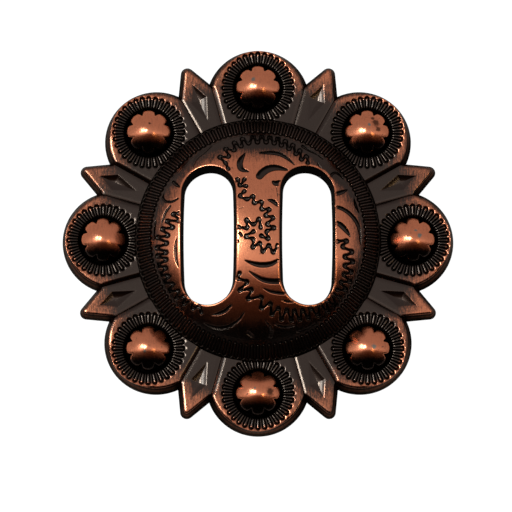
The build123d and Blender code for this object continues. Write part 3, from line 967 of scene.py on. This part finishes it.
def dome_half(name, side):
    """Half of the dome, as rings about its slot: rays square to the slot's
    outline run from the half dome's edge in to the lip, and the same rays go
    down the slot's wall, out again over the hollow, and back up. The face is
    the sphere less the engraving's depth, the lip a parabola, and the hollow
    a sphere that lies the wall's thickness deeper."""
    start, d = slot_rays()
    outer, on_circle = way_out(start, d, seam_radius)
    inner, _ = way_out(start, d, hollow_radius)

    def place(w):
        p = start + d * np.broadcast_to(w, len(d))[:, None]
        p[np.abs(p[:, 0]) < seam_catch, 0] = 0.0
        return side * p[:, 0], p[:, 1]

    def slot_way(z):
        return slot_half - (dome_height - z) * math.tan(slot_draft)

    # The drafted slot's outline where it meets the dome and the hollow, found
    # by going back and forth between height and width until they agree
    edge = floor = np.full(len(d), slot_half)
    for _ in range(slot_passes):
        edge = slot_way(dome_skin(*place(edge)))
        floor = slot_way(np.maximum(dome_skin(*place(floor), wall), 0.0))
    edge_z, floor_z = dome_skin(*place(edge)), dome_skin(*place(floor), wall)
    wall_way, wall_z = edge - slot_lip * math.tan(slot_draft), edge_z - slot_lip

    # Over the face to the lip, and round it into the slot
    skin = Skin(place)
    shares = np.linspace(0, 1, face_rings)[:, None]
    face_ways = outer + (edge + slot_lip - outer) * shares
    turns = np.linspace(0, 1, lip_rings)[1:, None]
    ways = np.vstack([face_ways, bend(edge + slot_lip, edge, wall_way, turns)])
    x = side * (start[:, 0] + d[:, 0] * ways)
    y = start[:, 1] + d[:, 1] * ways
    depth, inside, dark = engraved(x, y)
    face = dome_skin(x, y)
    # Painted shade on the near side: less bared copper and a darker skin there
    near = near_side_shade(y)
    rub = rub_on_dome(x, y) * (1 - inside) * (1 - 0.8 * near)
    for k in range(face_rings):
        shade = np.maximum(dark[k], 0.35 * near[k] * (1 - inside[k]))
        skin.ring(ways[k], face[k] - depth[k], rub[k], shade)
    for k, t in enumerate(turns[:, 0], face_rings):
        z = bend(face[face_rings - 1], edge_z, wall_z, t) - depth[k] * (1 - t) ** 2
        skin.ring(ways[k], z, 1.1 - 0.5 * t, np.maximum(dark[k] * (1 - t), ease(0.3, 0.85, t)))

    # Down the slot's wall, out over the hollow, and up again inside the seam
    for share in slot_wall_rings:
        w = wall_way + (floor - wall_way) * share
        skin.ring(w, wall_z + (floor_z - wall_z) * share, 0.0, 1.0)
    for share in hollow_rings:
        w = floor + (inner - floor) * share
        skin.ring(w, np.maximum(dome_skin(*place(w), wall), 0.0), 0.1, 0.35)
    halfway = skin.rings[-1][:, 2] * 0.5 + skin.rings[0][:, 2] * 0.5
    skin.ring(np.where(on_circle, outer, inner), np.where(on_circle, 0.0, halfway), 0.0, 0.5)
    return skin.piece(name, sharp=50.0, around=True, flip=side > 0)


# Fluted band

# Rings down the band, from over its top edge to its foot: close together at
# both ends of the flutes
band_rings = [-0.36, -0.24, -0.17, -0.12, -0.08, -0.04, 0.0, 0.04, 0.09, 0.15]
band_rings += [*np.linspace(0.25, 1.4, 7), 1.46, 1.51, 1.56, 1.6, 1.64, 1.68, 1.74]
flute_top, flute_foot = -0.06, 1.62
margin_slope = 0.97  # how much of a step down the dome's margin goes outwards

# The band's foot and its hidden underside
band_underside = [
    # radius, height, how dark
    (foot_radius + 0.03, leaf_height, 0.8),
    (foot_radius + 0.03, 0.3, 0.5),
    (foot_radius, 0.02, 0.5),
    (root - 0.05, 0.0, 0.5),
    (seam_radius, 0.0, 0.5),
    (seam_radius, 1.5, 0.5),
]


def fluted_band():
    """The dome's margin and the sloping band round its foot, turned from one
    profile: the sphere as far as its edge, and then a straight slant. Flutes
    are round at the top, where they bite a little into the margin, and widen
    at the foot, where the ribs between them end round."""
    pitch = 2 * math.pi / flute_count
    phi = flute_columns(flute_count)
    phase = flute_phase(phi, flute_count)
    rise, run = band_top - petal_height, foot_radius - dome_radius
    slant = math.hypot(rise, run)
    skin = Skin(lambda radius: (radius * np.cos(phi), radius * np.sin(phi)))

    for down in [*band_rings, slant]:
        if down < 0:
            radius = dome_radius + down * margin_slope
            z = float(dome_skin(radius, 0.0))
        else:
            radius = dome_radius + down * run / slant
            z = band_top - down * rise / slant
        step = pitch * radius
        across, half = phase * step, flute_share / 2 * step
        rib = step / 2 - half
        edge = across - half
        over_top, over_foot = flute_top + half - down, down - flute_foot + rib
        if over_top > 0:
            edge = np.hypot(across, over_top) - half
        if over_foot > 0:
            edge = rib - np.hypot(step / 2 - across, over_foot)
        depth, dark = flute_cut(edge)
        # Painted shade on the band's near side
        dark = np.maximum(dark, 0.6 * near_side_shade(radius * np.sin(phi)))
        dark = np.maximum(dark, 0.6 * ease(1.2, 1.6, down) + 0.3 * ease(1.6, 1.75, down))
        skin.ring(radius, z - depth, 0.04, dark)
    for radius, z, dark in band_underside:
        skin.ring(radius, z, 0.0, dark)
    return skin.piece("fluted_band", sharp=60.0, around=True)


for number in range(petal_count):
    petal(number)
    leaf(number)
dome_half("dome_right", 1)
dome_half("dome_left", -1)
fluted_band()


# Floor, light and camera

# The sheet, in metres
sheet_half = 0.6
sheet_level = -0.00002

# Painted light on the sheet, a glow that the metal mirrors
sheet_painted_light = {
    # from, to, how bright before, how bright beyond
    "left": (-0.008, -0.03, 0.03, 0.8),
    "far": (0.018, 0.032, 0.0, 0.7),
    "round": (0.0175, 0.0205, 0.02, 0.65),
}


def plain_floor():
    """A white sheet under the concho, glowing as bright as paper where it is seen
    bare. As the metal mirrors it, it glows with painted light on the left, at
    the far side and in a ring round the concho, and is dark as painted shade elsewhere."""
    mesh = bpy.data.meshes.new("floor")
    corners = [(-1, -1), (1, -1), (1, 1), (-1, 1)]
    corners = [(x * sheet_half, y * sheet_half, sheet_level) for x, y in corners]
    mesh.from_pydata(corners, [], [(0, 1, 2, 3)])
    floor = bpy.data.objects.new("floor", mesh)
    bpy.context.scene.collection.objects.link(floor)
    material = bpy.data.materials.new("white_sheet")
    material.use_nodes = True
    tree = material.node_tree
    shader = tree.nodes["Principled BSDF"]
    shader.inputs["Base Color"].default_value = (0.04, 0.04, 0.04, 1)
    shader.inputs["Roughness"].default_value = 0.9
    shader.inputs["Emission Color"].default_value = (1, 1, 1, 1)
    place = object_place(tree)
    split = add(tree, "SeparateXYZ", {0: place}).outputs
    from_middle = add(tree, "VectorMath", {0: place}, operation="LENGTH").outputs["Value"]
    strength = add(tree, "LightPath").outputs["Is Camera Ray"]
    # The glow by place, seen only in the metal: painted light
    for label, value in (("round", from_middle), ("far", split["Y"]), ("left", split["X"])):
        lit = smooth_range(tree, value, *sheet_painted_light[label])
        strength = maths(tree, "MAXIMUM", strength, lit)
    tree.links.new(strength, shader.inputs["Emission Strength"])
    mesh.materials.append(material)
    return floor


# Brightness of the room against how steeply a way leans back (more) or to the
# near side (less): the way's Y over its Z
sky_stops = [
    (-2.0, (0.003, 0.0015, 0.001)),
    (-1.6, (0.007, 0.0035, 0.002)),
    (-1.2, (0.042, 0.016, 0.007)),
    (-0.90, (0.065, 0.024, 0.010)),
    (-0.60, (0.13, 0.060, 0.028)),
    (-0.48, (0.24, 0.145, 0.092)),
    (-0.39, (0.76, 0.66, 0.60)),
    (-0.31, (1.50, 1.48, 1.42)),
    (-0.16, (1.42, 1.48, 1.46)),
    (0.0, (1.00, 1.07, 1.07)),
    (0.16, (0.92, 0.95, 0.95)),
    (0.4, (0.86, 0.88, 0.88)),
    (1.0, (0.74, 0.74, 0.74)),
]
glow_way = Vector((-0.72, 0.0, 0.69)).normalized()


def studio_sky():
    """A white ceiling that ends in a straight edge a little to the near side,
    with a dim warm room beyond it, fading a little towards the ground all
    round, and a broad glow on the left."""
    world = bpy.data.worlds.new("studio")
    world.use_nodes = True
    tree = world.node_tree
    way = add(tree, "TexCoord").outputs["Generated"]
    split = add(tree, "SeparateXYZ", {0: way}).outputs
    # Level ways and those from below count as only just rising
    slope = maths(tree, "DIVIDE", split["Y"], maths(tree, "MAXIMUM", split["Z"], 0.03))
    low, high = sky_stops[0][0], sky_stops[-1][0]
    share = add(tree, "MapRange", {0: slope, "From Min": low, "From Max": high})
    ramp = add(tree, "ValToRGB", {0: share.outputs["Result"]})
    points = ramp.color_ramp.elements
    for at, _ in sky_stops[1:-1]:
        points.new((at - low) / (high - low))
    for point, (at, colour) in zip(points, sky_stops):
        point.position, point.color = (at - low) / (high - low), (*colour, 1)
    ground = smooth_range(tree, split["Z"], 0.0, 0.3, 0.85, 1.0)
    faded = add(tree, "VectorMath", {0: ramp.outputs["Color"], "Scale": ground}, operation="SCALE")
    nearness = add(tree, "VectorMath", {0: way, 1: tuple(glow_way)}, operation="DOT_PRODUCT")
    glow = smooth_range(tree, nearness.outputs["Value"], 0.90, 1.0, 0.0, 1.1)
    white = add(tree, "CombineXYZ", {"X": glow, "Y": glow, "Z": glow}).outputs[0]
    total = add(tree, "VectorMath", {0: faded.outputs[0], 1: white}, operation="ADD")
    tree.links.new(total.outputs[0], tree.nodes["Background"].inputs["Color"])
    bpy.context.scene.world = world


# Soft lights: degrees left of straight up, degrees back, width and height in
# metres, watts, colour
soft_lights = {
    "core": (26, 4, 0.12, 0.09, 2.2, (0.85, 1.0, 0.95)),
    "left": (46, 12, 0.18, 0.09, 1.1, (0.75, 1.0, 1.05)),
    "warm": (-40, -20, 0.08, 0.06, 0.14, (1.0, 0.85, 0.4)),
}
light_distance = 0.5  # in metres


def soft_light(name, left, back, width, height, power, colour):
    """A soft light that shines on the concho from so far left and back."""
    lamp = bpy.data.lights.new(name, "AREA")
    lamp.shape, lamp.energy, lamp.color = "RECTANGLE", power, colour
    lamp.size, lamp.size_y = width, height
    light = bpy.data.objects.new(name, lamp)
    way = Vector((-math.tan(math.radians(left)), math.tan(math.radians(back)), 1.0))
    light.location = way.normalized() * light_distance
    light.rotation_mode = "QUATERNION"
    light.rotation_quaternion = way.to_track_quat("Z", "Y")
    bpy.context.scene.collection.objects.link(light)


# The camera, with lengths in millimetres
camera_rise = math.radians(81.0)  # how high over the sheet the view comes from
camera_distance = 600.0
view_width = 49.76  # what the picture takes in, at that distance
view_shift = (-0.19, -1.26)  # the picture's middle, right of and above the origin
sensor_width = 36.0


def photo_camera():
    """The camera at the photo's place, looking down and back at the concho."""
    data = bpy.data.cameras.new("camera")
    data.sensor_width = sensor_width
    data.lens = sensor_width * camera_distance / view_width
    data.clip_start, data.clip_end = 0.01, 10.0
    camera = bpy.data.objects.new("camera", data)
    look = Vector((0.0, math.cos(camera_rise), -math.sin(camera_rise)))
    up = Vector((0.0, math.sin(camera_rise), math.cos(camera_rise)))
    right, above = view_shift
    target = Vector((right * MM, 0.0, 0.0)) + up * (above * MM)
    camera.location = target - look * (camera_distance * MM)
    camera.rotation_mode = "QUATERNION"
    camera.rotation_quaternion = look.to_track_quat("-Z", "Y")
    bpy.context.scene.collection.objects.link(camera)
    return camera


plain_floor()
studio_sky()
for name, values in soft_lights.items():
    soft_light(name, *values)
bpy.context.scene.camera = photo_camera()
bpy.context.scene.view_settings.view_transform = "Standard"
